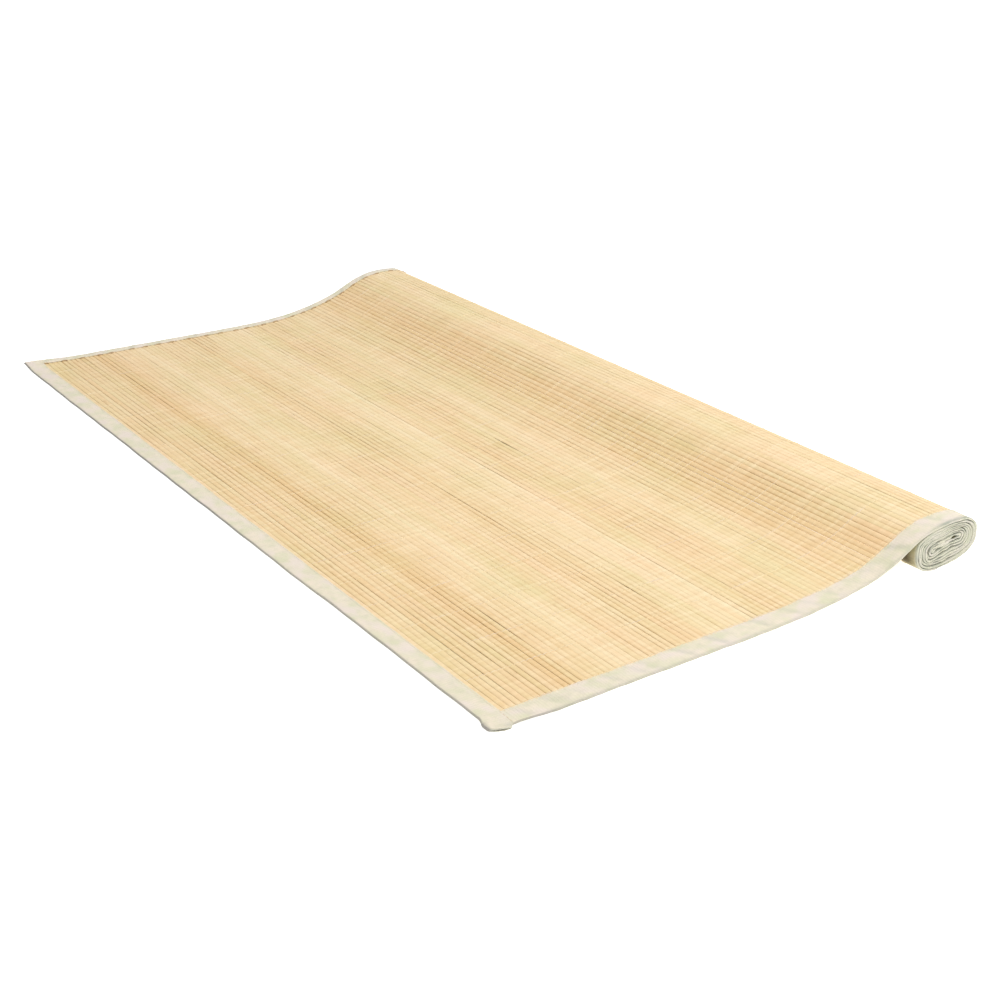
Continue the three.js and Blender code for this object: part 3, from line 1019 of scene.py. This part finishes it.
        # Painted shade deep inside the hole at the core
        hole = (self.at_core * near_places(self.along, WIDE_PLACES[:1]))[:, None]
        dark = hole * ease(inwards - self.outer[:, None], 0.0002, 0.0010) * (out < 0)
        return np.maximum(shaded_wedge, dark)

    def hem(self):
        """Painted shade on the outside of the fold, more so towards the flat end."""
        shade_share = 0.14 + 0.14 * fade(self.along, 0.05, 0.30)
        shade_share = shade_share + 0.3 * fade(self.along, 0.02, 0.10)
        return HEM_SHADE_LOOP * (shade_share * (1 - self.in_roll) * (0.4 + 0.6 * self.on_floor))[:, None]

    def piece(self, name):
        loop = self.section()
        inwards = loop[:, :, 0]
        out = loop[:, :, 1]
        y = inwards if self.side < 0 else MAT_WIDTH - inwards
        return tape_piece(
            name,
            on_mat(self.along[:, None], out, y),
            place=(self.along[:, None], inwards, out),
            flip=self.side < 0,
            fold=self.shading(inwards, out),
            stain=self.stain(inwards, out),
            hem=self.hem(),
        )


def tape_piece(name, points, place, flip=False, shut=False, **shades):
    """A tape from its rows of closed outlines."""
    faces = cloth_faces(points.shape[0], points.shape[1], shut)
    colours = [("place", np.stack(np.broadcast_arrays(*place), axis=-1).reshape(-1, 3))]
    colours += [(key, shade.ravel()) for key, shade in shades.items()]
    points = points.reshape(-1, 3)
    return make_piece(name, points, faces, cotton, "cotton_tape", colours, sharp=60, flip=flip)


# The end tape, a sleeve over the flat end that also covers the side tapes' ends
NEAR_END = -0.0014
FAR_END = MAT_WIDTH + 0.0004
TAB_ROUND = 0.0006
TAB_SPREAD = 0.0034
TAB_SPREAD_FADE = (0.005, 0.024)
NEAR_INSET = 0.0002
TAB_SLANT = 27.0
TAB_SLANT_FROM = 0.0130
TAB_SLANT_REACH = 0.022
TAB_NARROWING = 0.0046
TAB_NARROWS_FROM = 0.0043
FAR_TAB_FLARE = 0.0006
FAR_TAB_FLARE_LENGTH = 0.030
END_TOP = 0.00106
END_TOP_MOST = 0.00145
END_UNDER = 0.00139
END_FOLD_REACH = 0.0016
END_PUCKER = 0.00020
# The end tape lies higher over the side tapes, up to and from these places across the mat
OVER_SIDE = 0.00034
NEAR_OVER_SIDE = (SIDE_TAPE_WIDTH + 0.0005, SIDE_TAPE_WIDTH + 0.004)
FAR_OVER_SIDE = (0.9755, 0.979)
# At both ends its layers are drawn together, over these places across the mat
NEAR_SHUT = (0.0008, 0.0024)
FAR_SHUT = (0.9994, 1.0003)


def end_stations():
    """Places across the mat, closest together at the rounded ends."""
    rounding = TAB_ROUND * (1 - np.cos(np.radians(np.arange(0, 91, 10))))
    runs = (
        NEAR_END + rounding,
        np.arange(NEAR_END + TAB_ROUND + 0.0005, 0.04, 0.0012),
        np.arange(0.04, 0.94, 0.0035),
        np.arange(0.94, FAR_END - TAB_ROUND - 0.0005, 0.0014),
        FAR_END - rounding,
    )
    return np.unique(np.round(np.concatenate(runs), 6))


def end_edge(y, over_side, closing):
    """Where the fold ends, along the mat from its flat end."""
    flare = TAB_SPREAD * fade(y, *TAB_SPREAD_FADE)
    flare = flare + FAR_TAB_FLARE * ease(y, FAR_END - FAR_TAB_FLARE_LENGTH, FAR_END)
    outer = -flare + 0.0004 * waves(y, (0.26, 0.11, 0.048), 63) * (1 - over_side)
    outer = outer + TAB_ROUND * closing
    spread = ease(y, 0.22, 0.30)
    outer = outer + NEAR_INSET * (1 - spread) - EDGE_SPREAD * spread * fade(y, 0.97, 1.0)
    return np.maximum(outer, -TAB_FLARE)


def end_section(y, outer, over_side, closing):
    """The cloth's closed outline at each place across: along the mat, and out from its middle."""
    top = END_TOP + OVER_SIDE * over_side + 0.00008 * waves(y, (0.023, 0.037, 0.071), 61)
    top = (np.minimum(top, END_TOP_MOST) - CLOTH / 2) * (1 - 0.3 * closing)
    under = (END_UNDER - CLOTH / 2) * (1 - 0.3 * closing)
    lift = EDGE_LIFT * (1 + 0.3 * waves(y, (0.19, 0.083), 62)) * (1 - 0.55 * over_side)
    lift = lift * (1 - closing)
    lip = END_TAPE_WIDTH + 0.00035 * waves(y, (0.17, 0.06, 0.023), 64)
    narrowing = (TAB_NARROWS_FROM - y) / (TAB_NARROWS_FROM - NEAR_END)
    lip = lip - TAB_NARROWING * np.clip(narrowing, 0, 1)
    squareness = np.full(len(y), 2.1)
    across, offset = fold_line(top, under, lift, outer, lip, squareness, outer + END_FOLD_REACH)
    upper = across[:, :UPPER]
    ripple = ease(upper, 0.001, 0.005) * fade(upper, 0.0125, 0.0155)
    pucker = waves(y[:, None] + 0.5 * upper, (0.0129, 0.0191, 0.033, 0.058), 65)
    height = END_PUCKER * ripple * (0.6 + pucker) * (1 - closing[:, None])
    offset[:, :UPPER] += height
    shut = np.maximum(fade(y, *NEAR_SHUT), ease(y, *FAR_SHUT))
    meet = shut[:, None] * ease(across, lip[:, None] - 0.0035, lip[:, None])
    return cloth_loop(across, offset * (1 - 0.3 * meet))


def end_tape(name):
    """The tape across the flat end, with its folded tab beside the near edge."""
    y = end_stations()
    over_side = np.maximum(fade(y, *NEAR_OVER_SIDE), ease(y, *FAR_OVER_SIDE))
    from_end = np.minimum(y - NEAR_END, FAR_END - y)
    closing = 1 - np.sqrt(1 - np.clip(1 - from_end / TAB_ROUND, 0, 1) ** 2)
    outer = end_edge(y, over_side, closing)
    loop = end_section(y, outer, over_side, closing)
    inwards = loop[:, :, 0]
    out = loop[:, :, 1]
    y = y[:, None]
    from_fold = inwards - outer[:, None]
    # Painted shade on its outer edge, the underside, and the tab's corner and end
    shade = np.maximum(fade(from_fold, 0.0, 0.0022) * 0.35, (out < 0) * 0.5)
    shade = np.maximum(shade, 0.42 * ease(inwards, 0.0060, 0.0140) * fade(y, 0.0008, 0.0060))
    shade = np.maximum(shade, 0.6 * fade(y, NEAR_END, NEAR_END + TAB_ROUND))
    # Painted shade on the outside of the fold, fainter near the tab, and on the rim of the tab's flare
    shade_share = (0.6 + 0.3 * ease(y, 0.3, 0.5)) * (0.4 + 0.6 * ease(y, 0.0, 0.008))
    hem = np.maximum(HEM_SHADE_LOOP * shade_share, 0.7 * fade(y, 0.008, 0.016) * fade(from_fold, 0.0006, 0.0026))
    # The tab is cut at a slant
    slant = TAB_SLANT * np.maximum(TAB_SLANT_FROM - inwards, 0) ** 2
    slant = slant * fade(y, NEAR_END, TAB_SLANT_REACH)
    points = on_mat(inwards, out, y + slant)
    return tape_piece(name, points, (y, inwards, out), shut=True, fold=shade, hem=hem)


# Stitching along the tapes' inner edges
STITCH_LENGTH = 0.0030
STITCH_STEP = 0.0042
STITCH_RADIUS = 0.00017
STITCH_INSET = 0.0012
STITCH_SIDES = 5
STITCH_END = OUTER_TURN_END - 0.03
DASH_LENGTH = 0.0062
DASH_STEP = 0.0195
DASH_RADIUS = 0.00080
DASH_SHADE = 0.68


def add_stitch(parts, along, offset, y, radius=STITCH_RADIUS, shade_share=0.0):
    add_thread(parts, along, offset, y, radius, STITCH_SIDES, 2 * radius, stain=shade_share)


def stitch_rows():
    parts = Parts()
    shape = np.linspace(0, 1, 5)
    hump = np.sin(math.pi * shape) ** 0.5
    for edge in (SIDE_TAPE_WIDTH - STITCH_INSET, MAT_WIDTH - FAR_TAPE_WIDTH + STITCH_INSET):
        for start in np.arange(END_TAPE_WIDTH + 0.001, STITCH_END, STITCH_STEP):
            along = start + STITCH_LENGTH * shape
            y = edge + 0.0002 * waves(along, (0.09, 0.031), 81)
            add_stitch(parts, along, FLAT_TOP - 0.00006 + 0.00022 * hump, y)
    # Painted shade: dark thread dashes along the far tape's inner edge, put where the tape's edge lifts
    # between stitches and casts shade
    starts = np.arange(0.022, STITCH_END, DASH_STEP)
    for start in starts + 0.003 * np.random.default_rng(83).standard_normal(len(starts)):
        along = start + DASH_LENGTH * shape
        y = MAT_WIDTH - FAR_TAPE_WIDTH - 0.0008 + 0.0004 * waves(along, (0.08, 0.03), 84)
        add_stitch(parts, along, FLAT_TOP - 0.0004 + 0.0004 * hump, y, DASH_RADIUS, DASH_SHADE)
    far_side = MAT_WIDTH - FAR_TAPE_WIDTH - STITCH_LENGTH
    for start in np.arange(0.004, MAT_WIDTH - 0.006, STITCH_STEP):
        y = start + STITCH_LENGTH * shape
        step = 0.0 if SIDE_TAPE_WIDTH <= start <= far_side else OVER_SIDE
        along = END_TAPE_WIDTH - STITCH_INSET + 0.0002 * waves(y, (0.08, 0.033), 82)
        add_stitch(parts, along, 0.00104 + step + 0.00020 * hump, y)
    return parts.piece("stitching", thread, "cotton_tape", sharp=80)


slat_piece = slats()
weft_one = weft("weft_over", 0.0)
weft_two = weft("weft_under", math.pi)
near_tape = SideTape(-1, 11).piece("tape_near")
far_tape = SideTape(1, 31).piece("tape_far")
end_piece = end_tape("tape_end")
stitches = stitch_rows()

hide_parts("slat_panel")
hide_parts("binding_near")
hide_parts("binding_far")
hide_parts("binding_end")

# The floor, the light and the camera
FLOOR_HALF = 12.0
FLOOR_DROP = 0.00005
FLOOR_WHITE = (0.92, 0.92, 0.92, 1.0)
FLOOR_GLOW = 0.75
GLOW_FADE = 0.018
GLOW_EDGE = 0.415
GLOW_NOTCH = 0.30
GLOW_NOTCH_DEPTH = 0.12
WORLD_LIGHT = 0.58
# Name, place, size and power of each light, which all point at the middle of the mat
LIGHTS = (
    ("softbox", (0.40, -0.80, 2.3), 3.0, 45.0),
    ("side_light", (1.9, -0.9, 2.0), 1.6, 20.0),
)


def mat_outline(inset):
    """An outline of the floor beneath the mat, notched where the rise leaves the floor in view."""
    left = ORIGIN_X + inset
    right = ORIGIN_X + GLOW_EDGE - inset
    near = ORIGIN_Y + inset
    far = ORIGIN_Y + MAT_WIDTH - inset
    notch = ORIGIN_X + GLOW_NOTCH - inset
    return [(left, near), (notch, near), (right, near + GLOW_NOTCH_DEPTH), (right, far), (left, far)]


def floor_material():
    n = Nodes("floor")
    surface = {
        "Base Color": FLOOR_WHITE,
        "Emission Color": (1.0, 1.0, 1.0, 1.0),
        "Emission Strength": n.attribute("glow"),
        "Roughness": 0.9,
        "Specular IOR Level": 0.1,
    }
    return n.surface(surface)


def floor():
    """A white floor that glows a little, except beneath the mat."""
    h = FLOOR_HALF
    z = cad_box[0][2] - FLOOR_DROP
    outlines = [[(-h, -h), (0.0, -h), (h, -h), (h, h), (-h, h)], mat_outline(0.0), mat_outline(GLOW_FADE)]
    points = [(x, y, z) for outline in outlines for x, y in outline]
    corners = len(outlines[0])
    faces = [tuple(range(2 * corners, 3 * corners))]
    for ring in (0, corners):
        for k in range(corners):
            after = (k + 1) % corners
            faces.append((ring + k, ring + after, ring + corners + after, ring + corners + k))
    mesh = bpy.data.meshes.new("floor")
    mesh.from_pydata(points, [], faces)
    glow = mesh.attributes.new("glow", "FLOAT", "POINT")
    glow.data.foreach_set("value", [FLOOR_GLOW] * (2 * corners) + [0.0] * corners)
    mesh.materials.append(floor_material())
    new_object("floor", mesh)


def area_light(name, place, size, power):
    data = bpy.data.lights.new(name, "AREA")
    data.shape = "SQUARE"
    data.size = size
    data.energy = power
    light = new_object(name, data)
    light.location = place
    light.rotation_euler = Vector(place).to_track_quat("Z", "Y").to_euler()


def camera():
    data = bpy.data.cameras.new("camera")
    data.lens = CAMERA_LENS
    data.sensor_width = CAMERA_SENSOR
    data.clip_start = 0.01
    data.clip_end = 60
    eye = new_object("camera", data)
    eye.location = (CAMERA_PLACE[0] + ORIGIN_X, CAMERA_PLACE[1] + ORIGIN_Y, CAMERA_PLACE[2])
    turn = Matrix.Rotation(math.radians(CAMERA_YAW - 90), 3, "Z")
    tip = Matrix.Rotation(math.radians(90 - CAMERA_DOWN), 3, "X")
    roll = Matrix.Rotation(math.radians(CAMERA_ROLL), 3, "Z")
    eye.rotation_euler = (turn @ tip @ roll).to_euler()
    bpy.context.scene.camera = eye


floor()
for light in LIGHTS:
    area_light(*light)
camera()

world = bpy.data.worlds.new("world")
world.use_nodes = True
background = world.node_tree.nodes["Background"].inputs
background["Color"].default_value = (1.0, 1.0, 1.0, 1.0)
background["Strength"].default_value = WORLD_LIGHT
bpy.context.scene.world = world
bpy.context.scene.view_settings.view_transform = "Standard"
